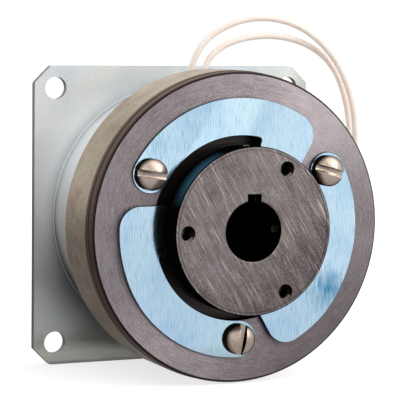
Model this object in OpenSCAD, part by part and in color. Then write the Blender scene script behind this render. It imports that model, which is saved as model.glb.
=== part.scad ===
// Electromagnetic power-on brake: a flange-mounted magnet, a keyed hub and an armature on three leaf springs.
// Millimetres. The shaft axis is Y, the hub looks towards -Y and y = 0 is the mounting plane.

/* [Hub] */
// Diameter of the bore for the shaft
bore_d = 19.05; // [15:0.05:22]
// Width of the keyway
key_w = 4.76; // [4:0.01:6]
// Depth of the keyway beyond the bore
key_depth = 2.21; // [1.8:0.01:3]
// Wall of the hub's barrel round the bore
barrel_wall = 6.375; // [5:0.025:8]
// Length of the hub
hub_len = 41.3; // [30:0.1:44]
// Thickness of the hub's flange
hub_flange_t = 9.4; // [8.6:0.1:12]
// Distance from the spring rivets to the hub's rim
hub_edge = 4.25; // [3.5:0.05:6]
// Chamfer at the mouths of the bore
bore_edge = 0.35; // [0.1:0.05:0.6]
// Diameter of the wells over the spring rivets
well_d = 4.8; // [4.6:0.1:6]
// Depth of the wells
well_depth = 6.4; // [4:0.1:7]

/* [Leaf springs] */
// Thickness of a leaf
leaf_t = 0.8; // [0.5:0.05:1]
// Width of a leaf's curved band
leaf_w = 11.8; // [11:0.2:13]
// Height of a leaf's tongue over the armature
leaf_lift = 1.2; // [0.9:0.1:2]
// Radial gap between the hub's rim and the leaves' bands
hub_gap = 2.9; // [1.5:0.1:4]
// Width of a leaf's tongue
tongue_w = 15.8; // [14:0.2:16.4]
// Radius of the tongue's outer corner
tongue_corner_r = 7; // [4:0.2:7.8]
// Width of the leaf's rounded end at its rivet
rivet_end_w = 11; // [9:0.2:12]
// Gap between a leaf's rounded end and the hub's barrel
barrel_clear = 0.95; // [0.5:0.05:2]
// Radius in the corner between the band and the tongue
crotch_r = 1.2; // [0.5:0.1:1.6]

/* [Armature] */
// Air gap between the pole faces and the armature with the power off
air_gap = 0.4; // [0.2:0.05:0.9]
// Thickness of the armature
armature_t = 3.97; // [3.4:0.01:6]
// Distance from the armature screws to the armature's rim
armature_edge = 14.1; // [10:0.1:16]
// Chamfer on the front rim of the armature
armature_chamfer = 0.8; // [0.3:0.1:1.2]

/* [Magnet] */
// How far the armature's rim stays inside the magnet's
armature_inset = 0.3; // [0:0.1:2]
// Length of the magnet from its back to the pole faces
magnet_len = 19.6; // [18:0.1:24]
// Radial width of the outer pole
outer_pole_w = 6.1; // [5:0.1:7]
// Radial width of the space for the coil
coil_space = 10.7; // [9:0.1:12]
// Radial width of the inner pole
inner_pole_w = 12; // [10:0.1:14]
// Radial width of the inner pole's shoulder on the back plate
neck_step = 6; // [4:0.1:8]
// Thickness of the magnet's back plate
back_t = 4; // [3:0.1:5]
// Thickness of the friction lining
lining_t = 3.5; // [2:0.1:5]
// Thickness of the potting between the bobbin and the lining
potting_cap = 1.2; // [0.8:0.1:2]
// Wall of the coil bobbin
bobbin_wall = 0.9; // [0.6:0.1:1.4]
// Radial thickness of the potting outside the bobbin
potting_wall = 1.2; // [0.6:0.1:2]
// Radial thickness of the potting or air between the winding and the bobbin's rim
winding_in = 0.5; // [0.2:0.1:1.5]

/* [Mounting flange] */
// How far the magnet's rim stays inside the flange's sides
magnet_inset = 0.2; // [0:0.1:3]
// Thickness of the sheet that the flange and its pan are drawn from
sheet = 2.66; // [2:0.1:3.2]
// Length that each cut corner takes off a side
corner_cut = 5.6; // [4:0.2:7]
// Radius where a cut corner meets a side
corner_r = 1.2; // [0.6:0.1:2]
// Distance from the bolt holes to the flange's sides
bolt_edge = 7.35; // [6:0.05:9]
// Diameter of the bolt holes
bolt_hole_d = 7.4; // [5.5:0.1:8]
// How far the pan's outside stays inside the magnet's rim
pan_step = 6.9; // [6:0.1:8]
// Distance from the mounting plane to the back of the magnet
stand_off = 32.3; // [30:0.1:36]
// Inside radius of the bends in the sheet
bend_r = 0.6; // [0.4:0.1:3]
// How far the bore through the pan's floor is wider than the inner pole's bore, on each side
pan_bore_step = 0.5; // [0:0.1:3]

/* [Fasteners] */
// Diameter of the armature screws
screw_d = 4.8; // [4:0.1:5.5]
// Diameter of the armature screws' heads
screw_head_d = 9.9; // [8:0.1:10]
// Height of the armature screws' heads
screw_head_h = 3.8; // [3:0.1:4.5]
// Width of the screwdriver slots
slot_w = 2.2; // [1.2:0.1:2.6]
// Depth of the screwdriver slots
slot_depth = 2.4; // [1:0.1:2.6]
// Diameter of the spring rivets
rivet_d = 3.2; // [2.5:0.1:3.6]
// Diameter of the spring rivets' heads
rivet_head_d = 6; // [5:0.1:7]
// Height of the spring rivets' heads
rivet_head_h = 1.1; // [0.8:0.05:1.2]
// Diameter of the set screws
set_screw_d = 4.8; // [4:0.1:5]
// Length of the set screws
set_screw_len = 9; // [6:0.5:10]
// Size across the flats of the set screws' sockets
socket_af = 2.4; // [2:0.1:2.5]
// Diameter of the flange rivets
flange_rivet_d = 4; // [3:0.1:5]
// Diameter of the flange rivets' heads
flange_rivet_head_d = 7; // [6:0.1:8]
// Height of the flange rivets' heads
flange_rivet_head_h = 1.7; // [1.2:0.1:2.2]
// Distance from the flange rivets to the pan's outside
flange_rivet_in = 10.9; // [9:0.1:13]

/* [Leads] */
// Diameter of a lead over its insulation
lead_d = 2.1; // [1.8:0.1:2.4]
// Diameter of a lead's stripped end
strand_d = 1; // [0.6:0.1:1.2]
// Length that is stripped from each lead
strip_len = 10; // [6:0.5:12]
// Distance between the leads where they leave the pan
lead_gap = 4.6; // [4.2:0.1:5]
// Distance from the mounting plane to the leads' exit
lead_exit = 21.7; // [18:0.1:23]
// Thickness of the grommet's rims
grommet_rim = 1.2; // [0.8:0.1:1.6]
// Width of the grommet's rims outside their hole
grommet_lip = 1.1; // [0.8:0.1:1.6]

/* [Hidden] */
$fn = 96;

// Clearance of a part in its seat, all round
fit = 0.05;
// Clearance of a fastener in the hole that it passes
pass = 0.15;
// Overshoot of a cutting shape past a face
over = 1;
// Chamfer on the hub's, the magnet's and the armature's small edges
small_edge = 0.3;
// Turned line on the hub's face: its distance from the rim, width and depth
hub_line_in = 1.3;
hub_line_w = 0.25;
hub_line_depth = 0.12;
// Number of leaves, and the angle of the first leaf's rivet seen from the front
leaves = 3;
first_leaf = 60;
// Angle from a leaf's rivet to its screw
leaf_sweep = 90;
// Angles of the screwdriver slots as they were left when the screws were tightened
slot_angles = [-9, -16, -100];
// Angles of the set screws: over the key, and a quarter turn on
set_angles = [90, 0];
// Wall left under a set screw's tip, over the keyway
set_tip_gap = 2.5;
// Number and first angle of the flange rivets
flange_rivets = 4;
first_flange_rivet = 45;
// How deep a flange rivet's shank and an armature screw's end stay inside their plate
blind_wall = 0.6;
// Steps in the curve of a leaf, and in the arc of its inner corner
leaf_steps = 12;
crotch_steps = 6;
// Flat length of a leaf beside the tongue and beside the screw's head
leaf_land = 0.8;
// Radius of the coil leads' elbow
elbow_r = 4.5;
// Wall of the grommet outside the leads
grommet_wall = 0.9;

// Distances in front of the mounting plane
at_back = stand_off;
at_cavity = at_back + back_t;
at_pole = at_back + magnet_len;
at_lining = at_pole - lining_t;
at_bobbin_end = at_lining - potting_cap;
at_armature = at_pole + air_gap;
at_face = at_armature + armature_t;
at_tongue = at_face + leaf_lift;
at_hub = at_tongue + leaf_t;
at_front = at_hub + hub_flange_t;

// Radii, from the shaft outwards
bore_r = bore_d / 2;
key_top = bore_r + key_depth;
barrel_r = bore_r + barrel_wall;
rivet_r = barrel_r + barrel_clear + rivet_end_w / 2;
hub_r = rivet_r + hub_edge;
leaf_in = hub_r + hub_gap;
leaf_out = leaf_in + leaf_w;
screw_r = leaf_in + leaf_w / 2;
armature_r = screw_r + armature_edge;
magnet_r = armature_r + armature_inset;
flange_side = 2 * (magnet_r + magnet_inset);
bolt_spacing = flange_side - 2 * bolt_edge;
pan_r = magnet_r - pan_step;
flange_rivet_r = pan_r - flange_rivet_in;
cavity_out = magnet_r - outer_pole_w;
cavity_in = cavity_out - coil_space;
inner_bore_r = cavity_in - inner_pole_w;
neck_r = cavity_in - neck_step;
pan_bore_r = inner_bore_r + pan_bore_step;
bobbin_in = cavity_in + fit;
bobbin_out = cavity_out - potting_wall;
lead_r = lead_d / 2;
// Height of the coil leads over the shaft axis, where they run along it
coil_lead_h = bobbin_in + bobbin_wall + lead_r;

// Routes of the two leads, from the grommet over the flange, down its side and onto the surface behind it
lead_routes = [
    [[-2.3, -21.7, 41.6], [-2.3, -21.7, 44.1],
     [-2.3, -21.7, 47.5], [-1.6, -21.8, 51], [0, -21.9, 54.8], [2.6, -22, 58.4],
     [6.4, -22.1, 61.5], [11.4, -22.3, 64.1], [17.2, -22.4, 65.9], [23.6, -22.5, 66.5], [30.4, -22.6, 65.8],
     [37, -22.7, 63.7], [42.8, -22.8, 60.3], [47.7, -22.9, 56], [51.9, -23, 50.8], [55, -23.1, 45],
     [57.1, -23.2, 38.8], [58.4, -23.3, 32.4], [58.8, -23.4, 26], [58.6, -23, 19.4], [58.1, -21.8, 12],
     [57.4, -19.4, 2.8], [56.9, -16, -6.6], [56.6, -11.6, -15.6], [56.3, -6, -24.2], [55.9, 0.8, -31.8],
     [55.2, 8.8, -38.4], [54, 17.8, -43.6], [52, 27.6, -47.2], [48.6, 37.4, -48.9], [42.8, 46.2, -48.9],
     [34.4, 52.6, -48.9], [24.2, 55.2, -48.9], [13.8, 53.4, -48.9], [4.8, 47.6, -48.9], [-1.2, 38.8, -48.9],
     [-3.6, 28.4, -48.9], [-3.3, 20, -48.9], [-2, 12.3, -48.9]],
    [[2.3, -21.7, 41.6], [2.3, -21.7, 44.1],
     [2.3, -21.7, 47.3], [3.2, -21.6, 50.4], [5.2, -21.4, 53.6], [8.4, -21.2, 56.3],
     [12.6, -21, 58.3], [17.6, -20.8, 59.7], [23.4, -20.6, 60.5], [29.6, -20.3, 60.5], [35.8, -20.1, 59.5],
     [41.6, -19.9, 57.6], [47, -19.6, 54.6], [51.4, -19.4, 50.4], [54.6, -19.2, 45.2], [56.8, -19, 39.4],
     [58.3, -18.8, 33.2], [59, -18.5, 26.8], [59.2, -17.6, 20.2], [59.1, -15.8, 12.8],
     [58.9, -12.8, 3.8], [58.7, -8.6, -5.4], [58.6, -3.4, -14.2], [58.4, 3, -22.4], [58.1, 10.4, -30],
     [57.5, 19, -36.8], [56.2, 28.4, -42.4], [54, 38.4, -46.6], [50, 48.2, -48.9], [43.4, 56.6, -48.9],
     [34.2, 62.4, -48.9], [23.6, 64.6, -48.9], [12.8, 62.8, -48.9], [3.4, 57.2, -48.9], [-4, 49, -48.9],
     [-8.8, 39.2, -48.9], [-11, 28.4, -48.9], [-10.7, 15.8, -48.9]]];

// Turns a shape that is drawn seen from the front, with its height forwards, into the brake's frame
module facing() rotate([90, 0, 0]) children();

// Copies at even angles round the shaft axis
module around(count, first, radius) {
    for (i = [0 : count - 1])
        rotate(first + i * 360 / count)
            translate([radius, 0, 0])
                children();
}

// A vertex of a closed outline, rounded by an arc
function unit(v) = v / norm(v);
function rounded_vertex(a, b, c, r, steps) =
    let (u = unit(a - b), v = unit(c - b),
         half = acos(u * v) / 2,
         centre = b + unit(u + v) * r / sin(half),
         t0 = b + u * r / tan(half), t1 = b + v * r / tan(half),
         a0 = atan2(t0[1] - centre[1], t0[0] - centre[0]),
         a1 = atan2(t1[1] - centre[1], t1[0] - centre[0]),
         turn = (a1 - a0 + 540) % 360 - 180)
    [for (i = [0 : steps]) centre + r * [cos(a0 + turn * i / steps), sin(a0 + turn * i / steps)]];
function rounded(points, r, steps = 4) =
    [for (i = [0 : len(points) - 1])
        each rounded_vertex(points[(i + len(points) - 1) % len(points)], points[i],
                            points[(i + 1) % len(points)], r, steps)];

// Flange seen from the front
module flange_outline() {
    h = flange_side / 2;
    c = h - corner_cut;
    polygon(rounded([[h, -c], [h, c], [c, h], [-c, h], [-h, c], [-h, -c], [-c, -h], [c, -h]], corner_r));
}

// Half section of the drawn pan, filled to the shaft axis: radius across, distance from the mounting plane up
module pan_outside() {
    outer_r = bend_r + sheet;
    square([pan_r, stand_off - outer_r]);
    square([pan_r - outer_r, stand_off]);
    translate([pan_r - outer_r, stand_off - outer_r]) circle(outer_r);
    difference() {
        square([pan_r + bend_r, sheet + bend_r]);
        translate([pan_r + bend_r, sheet + bend_r]) circle(bend_r);
    }
}

// Half section of the space in the pan, with its rounded mouth and the bore through its floor
module pan_inside() {
    outer_r = bend_r + sheet;
    wall_r = pan_r - sheet;
    floor_at = stand_off - sheet;
    translate([0, -over]) square([wall_r, floor_at - bend_r + over]);
    square([wall_r - bend_r, floor_at]);
    translate([wall_r - bend_r, floor_at - bend_r]) circle(bend_r);
    square([pan_bore_r, stand_off + over]);
    difference() {
        translate([wall_r - over, -over]) square([outer_r + over, outer_r + over]);
        translate([wall_r + outer_r, outer_r]) circle(outer_r);
    }
}

// Opening for the grommet, as a slot with round ends of the given half height
module lead_slot(half) {
    for (side = [-1, 1]) translate([side * lead_gap / 2, 0]) circle(half);
    square([lead_gap, 2 * half], center = true);
}

// Places a shape that is drawn seen from above, with its height upwards, over the leads' exit
module over_exit(from) translate([0, from, lead_exit]) rotate([-90, 0, 0]) children();

module flange_rivet_holes(d) {
    around(flange_rivets, first_flange_rivet, flange_rivet_r)
        translate([0, 0, stand_off - sheet - over]) cylinder(h = sheet + back_t - blind_wall + over, d = d);
}

module coil_lead_holes(d) {
    for (side = [-1, 1])
        translate([side * lead_gap / 2, coil_lead_h, stand_off - sheet - over])
            cylinder(h = sheet + back_t + 2 * over, d = d);
}

module mounting_flange() {
    color("gainsboro") facing() difference() {
        union() {
            linear_extrude(sheet) flange_outline();
            rotate_extrude() pan_outside();
        }
        rotate_extrude() pan_inside();
        for (x = [-1, 1], y = [-1, 1])
            translate([x * bolt_spacing / 2, y * bolt_spacing / 2, -over])
                cylinder(h = sheet + 2 * over, d = bolt_hole_d);
        flange_rivet_holes(flange_rivet_d + 2 * fit);
        coil_lead_holes(lead_d + 2 * pass);
        over_exit(pan_r - sheet - 2 * over)
            linear_extrude(sheet + 4 * over) lead_slot(lead_r + grommet_wall + fit);
    }
}

// A closed outline with its outer corners at the front and back cut at 45 degrees
module ring_section(r_in, r_out, from, to, front_edge, back_edge) {
    polygon([[r_in, from], [r_out - back_edge, from], [r_out, from + back_edge], [r_out, to - front_edge],
             [r_out - front_edge, to], [r_in, to]]);
}

module magnet_shell() {
    color("darkkhaki") facing() difference() {
        rotate_extrude() difference() {
            ring_section(neck_r + fit, magnet_r, at_back, at_pole, small_edge, small_edge);
            translate([0, at_cavity]) square([cavity_out, magnet_len]);
        }
        flange_rivet_holes(flange_rivet_d + 2 * fit);
        coil_lead_holes(lead_d + 2 * pass);
    }
}

module inner_pole() {
    color("dimgray") facing() rotate_extrude() difference() {
        translate([inner_bore_r, at_back]) square([inner_pole_w, magnet_len]);
        translate([neck_r, at_back - over]) square([neck_step + over, back_t + over]);
    }
}

module coil_bobbin() {
    length = at_bobbin_end - at_cavity;
    color("ivory") facing() rotate_extrude() difference() {
        translate([bobbin_in, at_cavity]) square([bobbin_out - bobbin_in, length]);
        translate([bobbin_in + bobbin_wall, at_cavity + bobbin_wall])
            square([bobbin_out - bobbin_in, length - 2 * bobbin_wall]);
    }
}

module coil_winding() {
    inner = bobbin_in + bobbin_wall + fit;
    color("chocolate") facing() rotate_extrude()
        translate([inner, at_cavity + bobbin_wall])
            square([bobbin_out - winding_in - inner, at_bobbin_end - at_cavity - 2 * bobbin_wall]);
}

module coil_potting() {
    color("saddlebrown") facing() rotate_extrude() difference() {
        translate([bobbin_in, at_cavity])
            square([cavity_out - fit - bobbin_in, at_lining - at_cavity]);
        translate([bobbin_in - over, at_cavity - over])
            square([bobbin_out - bobbin_in + fit + over, at_bobbin_end - at_cavity + over]);
    }
}

module friction_lining() {
    color("peru") facing() rotate_extrude()
        translate([bobbin_in, at_lining]) square([cavity_out - fit - bobbin_in, lining_t]);
}

// A domed head that stands on z = 0, with a straight side as high as rim
module domed_head(d, h, rim) {
    dome_r = ((d / 2) ^ 2 + (h - rim) ^ 2) / (2 * (h - rim));
    intersection() {
        cylinder(h = h, d = d);
        translate([0, 0, h - dome_r]) sphere(dome_r);
    }
}

module flange_rivet(i) {
    color("silver") facing()
        rotate(first_flange_rivet + (i - 1) * 360 / flange_rivets)
            translate([flange_rivet_r, 0, stand_off - sheet]) {
                mirror([0, 0, 1]) domed_head(flange_rivet_head_d, flange_rivet_head_h, 0.3);
                cylinder(h = sheet + back_t - blind_wall, d = flange_rivet_d);
            }
}

module lead_grommet() {
    half = lead_r + grommet_wall;
    color("dimgray") facing() difference() {
        union() {
            over_exit(pan_r - sheet - grommet_rim)
                linear_extrude(sheet + 2 * grommet_rim) lead_slot(half);
            difference() {
                over_exit(pan_r - over) linear_extrude(grommet_rim + over) lead_slot(half + grommet_lip);
                cylinder(h = stand_off, r = pan_r);
            }
            intersection() {
                over_exit(pan_r - sheet - grommet_rim)
                    linear_extrude(grommet_rim + over) lead_slot(half + grommet_lip);
                cylinder(h = stand_off, r = pan_r - sheet);
            }
        }
        for (side = [-1, 1])
            over_exit(pan_r - sheet - 2 * grommet_rim)
                translate([side * lead_gap / 2, 0]) cylinder(h = sheet + 4 * grommet_rim, d = lead_d);
    }
}

// The leads inside the pan, from the bobbin through the magnet's back to the grommet
module coil_leads() {
    start = pan_r - sheet / 2;
    for (side = [-1, 1])
        color("bisque") facing() translate([side * lead_gap / 2, 0, 0]) {
            translate([0, coil_lead_h, lead_exit + elbow_r])
                cylinder(h = at_cavity - lead_exit - elbow_r, r = lead_r - fit);
            translate([0, coil_lead_h + elbow_r, lead_exit])
                rotate([-90, 0, 0])
                    cylinder(h = start - coil_lead_h - elbow_r, r = lead_r - fit);
            translate([0, coil_lead_h + elbow_r, lead_exit + elbow_r])
                rotate([0, -90, 0]) rotate(180)
                    rotate_extrude(angle = 90) translate([elbow_r, 0]) circle(lead_r - fit);
        }
}

// A round tube of sides and diameter d along a route, one ring at each point
function tube_frames(route) =
    let (n = len(route),
         along = [for (i = [0 : n - 1]) unit(route[min(i + 1, n - 1)] - route[max(i - 1, 0)])])
    [for (i = 0, side = [1, 0, 0]; i < n;
          side = let (next = along[min(i + 1, n - 1)]) unit(side - (side * next) * next), i = i + 1)
        [side, cross(along[i], side)]];
module tube(route, d, sides) {
    n = len(route);
    frames = tube_frames(route);
    points = [for (i = [0 : n - 1], j = [0 : sides - 1])
        route[i] + d / 2 * (cos(j * 360 / sides) * frames[i][0] + sin(j * 360 / sides) * frames[i][1])];
    walls = [for (i = [0 : n - 2], j = [0 : sides - 1])
        let (k = (j + 1) % sides)
        [i * sides + j, (i + 1) * sides + j, (i + 1) * sides + k, i * sides + k]];
    ends = [[for (j = [0 : sides - 1]) j], [for (j = [0 : sides - 1]) n * sides - 1 - j]];
    polyhedron(points, concat(walls, ends));
}

module lead_wire(i) color("antiquewhite") tube(lead_routes[i - 1], lead_d, 8);

module lead_tip(i) {
    route = lead_routes[i - 1];
    end = route[len(route) - 1];
    way = end - route[len(route) - 2];
    color("silver") translate(end) rotate([0, 90, atan2(way[1], way[0])])
        cylinder(h = strip_len, d = strand_d);
}

module bore_cut() {
    depth = hub_len + 2 * over;
    translate([0, 0, at_front - hub_len - over]) cylinder(h = depth, r = bore_r);
    for (front = [0, 1])
        translate([0, 0, at_front - hub_len * (1 - front)]) mirror([0, 0, front])
            translate([0, 0, -over])
                cylinder(h = over + bore_edge, r1 = bore_r + bore_edge + over, r2 = bore_r);
    translate([-key_w / 2, 0, at_front - hub_len - over]) cube([key_w, key_top, depth]);
}

module hub() {
    color("gray") facing() difference() {
        union() {
            rotate_extrude() ring_section(0, barrel_r, at_front - hub_len, at_hub + over, 0, small_edge);
            rotate_extrude() ring_section(0, hub_r, at_hub, at_front, small_edge, small_edge);
        }
        bore_cut();
        around(leaves, first_leaf, rivet_r) {
            translate([0, 0, at_hub - over]) cylinder(h = hub_flange_t + over, d = rivet_d + 2 * fit);
            translate([0, 0, at_front - well_depth]) cylinder(h = well_depth + over, d = well_d);
        }
        for (angle = set_angles)
            rotate(angle) translate([0, 0, (at_hub + at_front) / 2]) rotate([0, 90, 0])
                cylinder(h = 2 * hub_r, d = set_screw_d + 2 * fit);
        rotate_extrude() translate([hub_r - hub_line_in, at_front - hub_line_depth])
            square([hub_line_w, over]);
    }
}

module set_screw(i) {
    tip = set_screw_d / 4;
    color("dimgray") facing()
        rotate(set_angles[i - 1]) translate([key_top + set_tip_gap, 0, (at_hub + at_front) / 2])
            rotate([0, 90, 0]) difference() {
                union() {
                    cylinder(h = tip, d1 = set_screw_d / 2, d2 = set_screw_d);
                    translate([0, 0, tip]) cylinder(h = set_screw_len - tip, d = set_screw_d);
                }
                translate([0, 0, set_screw_len / 2])
                    cylinder(h = set_screw_len, d = socket_af / cos(30), $fn = 6);
            }
}

// Angle of a leaf's rivet, seen from the front
function leaf_angle(i) = first_leaf - (i - 1) * 360 / leaves;

// A leaf's flat blank of height h, with its tongue along +X and its screw leaf_sweep degrees on
module leaf_blank(h) {
    half = tongue_w / 2;
    end_r = rivet_end_w / 2;
    // The outer corner's centre lies where its arc touches the tongue's side and the band's outer edge
    corner_y = -half + tongue_corner_r;
    corner_x = sqrt((leaf_out - tongue_corner_r) ^ 2 - corner_y ^ 2);
    // Under the hub's rim the tongue's sides turn in, to touch the round end
    reach = norm([hub_edge, half]);
    touch = atan2(half, hub_edge) + acos(end_r / reach);
    touch_at = [rivet_r + end_r * cos(touch), end_r * sin(touch)];
    // The inner corner's arc touches the tongue's side and the band's inner edge
    crotch_x = sqrt((leaf_in - crotch_r) ^ 2 - (half + crotch_r) ^ 2);
    crotch_at = [crotch_x, half + crotch_r];
    crotch_end = atan2(crotch_at[1], crotch_x);
    crotch_arc = [for (s = [0 : crotch_steps])
        let (a = -90 + s * (90 + crotch_end) / crotch_steps) crotch_at + crotch_r * [cos(a), sin(a)]];
    difference() {
        union() {
            linear_extrude(h) difference() {
                intersection() {
                    circle(leaf_out);
                    polygon([[0, 0], [corner_x * 2, corner_y * 2], [leaf_out * 2, half * 2],
                             [leaf_out * 2, leaf_out * 2],
                             [leaf_out * 2 * cos(leaf_sweep), leaf_out * 2 * sin(leaf_sweep)]]);
                }
                circle(leaf_in);
            }
            rotate(leaf_sweep) translate([screw_r, 0, 0]) cylinder(h = h, r = leaf_w / 2);
            translate([corner_x, corner_y, 0]) cylinder(h = h, r = tongue_corner_r);
            linear_extrude(h)
                polygon([[hub_r, -half], [corner_x, -half], [corner_x, half], [hub_r, half],
                         touch_at, [rivet_r, 0], [touch_at[0], -touch_at[1]]]);
            translate([rivet_r, 0, 0]) cylinder(h = h, r = end_r);
            linear_extrude(h)
                polygon(concat(crotch_arc, [crotch_at * (leaf_in + over) / norm(crotch_at),
                                            [leaf_in + over, 0], [crotch_x, 0]]));
        }
        rotate(leaf_sweep) translate([screw_r, 0, -over])
            cylinder(h = h + 2 * over, d = screw_d + 2 * pass);
        translate([rivet_r, 0, -over]) cylinder(h = h + 2 * over, d = rivet_d + 2 * fit);
    }
}

// Height of a leaf's rear face over the armature, across its tongue
function leaf_height(y) =
    let (from = tongue_w / 2 + leaf_land,
         to = screw_r * sin(leaf_sweep) - screw_head_d / 2 - leaf_land,
         t = max(0, min(1, (y - from) / (to - from))))
    leaf_lift * (1 + cos(180 * t)) / 2;

module leaf_spring(i) {
    from = tongue_w / 2 + leaf_land;
    to = screw_r * sin(leaf_sweep) - screw_head_d / 2 - leaf_land;
    stations = concat([-leaf_out], [for (s = [0 : leaf_steps]) from + (to - from) * s / leaf_steps],
                      [leaf_out * 2]);
    rear = [for (y = stations) [y, leaf_height(y)]];
    front = [for (s = [len(stations) - 1 : -1 : 0]) [stations[s], leaf_height(stations[s]) + leaf_t]];
    color("lightblue") facing() rotate(leaf_angle(i)) intersection() {
        translate([0, 0, at_face - over]) leaf_blank(leaf_lift + leaf_t + 2 * over);
        translate([-leaf_out, 0, at_face]) rotate([90, 0, 90])
            linear_extrude(leaf_out * 2.5) polygon(concat(rear, front));
    }
}

module spring_rivet(i) {
    shank = leaf_t + hub_flange_t - well_depth;
    color("silver") facing() rotate(leaf_angle(i)) translate([rivet_r, 0, at_tongue]) {
        mirror([0, 0, 1]) domed_head(rivet_head_d, rivet_head_h, 0.3);
        cylinder(h = shank, d = rivet_d);
        translate([0, 0, shank]) domed_head(well_d - 2 * pass, rivet_head_h, 0.3);
    }
}

module armature_disc() {
    color("slategray") facing() difference() {
        rotate_extrude()
            ring_section(leaf_in, armature_r, at_armature, at_face, armature_chamfer, small_edge);
        around(leaves, first_leaf + leaf_sweep, screw_r)
            translate([0, 0, at_armature + blind_wall]) cylinder(h = armature_t, d = screw_d + 2 * fit);
    }
}

module armature_screw(i) {
    color("tan") facing() rotate(leaf_angle(i) + leaf_sweep) translate([screw_r, 0, at_face]) {
        rotate(slot_angles[i - 1] - leaf_angle(i) - leaf_sweep) translate([0, 0, leaf_t]) difference() {
            domed_head(screw_head_d, screw_head_h, screw_head_h / 2);
            translate([-screw_head_d, -slot_w / 2, screw_head_h - slot_depth])
                cube([2 * screw_head_d, slot_w, slot_depth + over]);
        }
        translate([0, 0, blind_wall - armature_t])
            cylinder(h = armature_t - blind_wall + leaf_t, d = screw_d);
    }
}

mounting_flange();
magnet_shell();
inner_pole();
coil_bobbin();
coil_winding();
coil_potting();
friction_lining();
for (i = [1 : 4]) flange_rivet(i);
lead_grommet();
coil_leads();
for (i = [1 : 2]) lead_wire(i);
for (i = [1 : 2]) lead_tip(i);
hub();
for (i = [1 : 2]) set_screw(i);
for (i = [1 : 3]) leaf_spring(i);
for (i = [1 : 3]) spring_rivet(i);
armature_disc();
for (i = [1 : 3]) armature_screw(i);
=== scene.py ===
"""Looks of the electromagnetic power-on brake, in metres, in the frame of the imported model."""

import math

import bmesh
import bpy
from mathutils import Matrix, Vector


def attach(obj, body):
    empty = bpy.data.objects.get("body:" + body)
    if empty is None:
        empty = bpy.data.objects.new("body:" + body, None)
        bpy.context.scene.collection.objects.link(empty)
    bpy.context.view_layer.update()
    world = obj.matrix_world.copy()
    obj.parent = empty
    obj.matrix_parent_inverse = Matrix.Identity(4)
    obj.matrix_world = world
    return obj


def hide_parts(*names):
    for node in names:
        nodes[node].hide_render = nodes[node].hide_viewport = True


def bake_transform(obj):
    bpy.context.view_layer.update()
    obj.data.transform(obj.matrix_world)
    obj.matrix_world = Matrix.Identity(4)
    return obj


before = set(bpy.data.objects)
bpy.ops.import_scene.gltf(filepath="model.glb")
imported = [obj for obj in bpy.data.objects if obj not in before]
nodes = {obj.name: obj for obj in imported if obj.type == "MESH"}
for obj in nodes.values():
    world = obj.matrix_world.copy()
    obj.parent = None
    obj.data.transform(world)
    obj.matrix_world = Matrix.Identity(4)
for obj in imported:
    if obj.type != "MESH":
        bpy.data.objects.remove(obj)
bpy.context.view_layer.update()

MM = 0.001
scene = bpy.context.scene
scene.view_settings.view_transform = "Standard"

# Name of the attribute that keeps where a leaf's points lie at rest
REST = "rest_place"

# Depths in front of the mounting face
PLATE_FACE = 2.66 * MM
MAGNET_BARE = 50.5 * MM
HUB_FACE = 67.67 * MM

# Height of the flange's lower edge, on which the object stands, from the shaft's middle line
FLOOR = -50 * MM

# Distances from the shaft's middle line
KEY_TOP = 12.3 * MM
IN_BARREL_WALL = 14.9 * MM
RIVET_R = 22.35 * MM
SCRIBED_R = 25.55 * MM
PAST_SCREW_HOLES = 38.4 * MM
ARMATURE_R = 49.5 * MM

# Distance from a spring rivet's middle line that lies outside the well over it
PAST_WELL = 2.8 * MM

# The leaves: how many, and the angle of the first one's rivet
LEAVES = 3
FIRST_LEAF = 60

# Where the heat ran deeper into the leaves: the middle of each place, how far it reaches and how strong it is
HEAT_SPOTS = [((0.0315, -0.0583, -0.0205), 8.5 * MM, 1.0), ((-0.029, -0.0583, 0.027), 5 * MM, 0.35)]

# Ways in the front view
RIGHT = (1.0, 0.0, 0.0)
UPPER_LEFT = (-0.73, 0.0, 0.68)


# Camera at the photograph's angle

# Where it stands, the ways that are ahead and up for it, and its lens in millimetres on a sensor 36 mm wide
EYE = Vector((-0.25418, -0.60472, 0.06291))
AHEAD = Vector((0.40015, 0.91210, -0.08923))
UPWARD = Vector((0.02509, 0.08642, 0.99594))
LENS = 172.66


def place_camera():
    """The camera that took the photograph, as the fit to the flange, the circles and the bore gives it."""
    data = bpy.data.cameras.new("photo_camera")
    data.lens = LENS
    data.sensor_width = 36
    data.clip_start = 0.01
    data.clip_end = 50
    camera = bpy.data.objects.new("photo_camera", data)
    scene.collection.objects.link(camera)
    right = AHEAD.cross(UPWARD).normalized()
    up = right.cross(AHEAD).normalized()
    turn = Matrix((right, up, -AHEAD.normalized())).transposed()
    camera.matrix_world = Matrix.Translation(EYE) @ turn.to_4x4()
    scene.camera = camera


# Small tools for finishes and pieces

# Kind of node that gives a value its colour, and the sockets of a Mix node that mixes colours
RAMP = "ShaderNodeValToRGB"
COLOUR_A = 6
COLOUR_B = 7
MIXED = 2

# Ends between which a soft random pattern mostly lies
PATTERN_LOW = 0.3
PATTERN_HIGH = 0.7


def colour(code):
    """A hex colour as the shaders take it, in linear light."""
    shares = [int(code[at:at + 2], 16) / 255 for at in (1, 3, 5)]
    linear = [s / 12.92 if s <= 0.04045 else ((s + 0.055) / 1.055) ** 2.4 for s in shares]
    return (*linear, 1.0)


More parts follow.
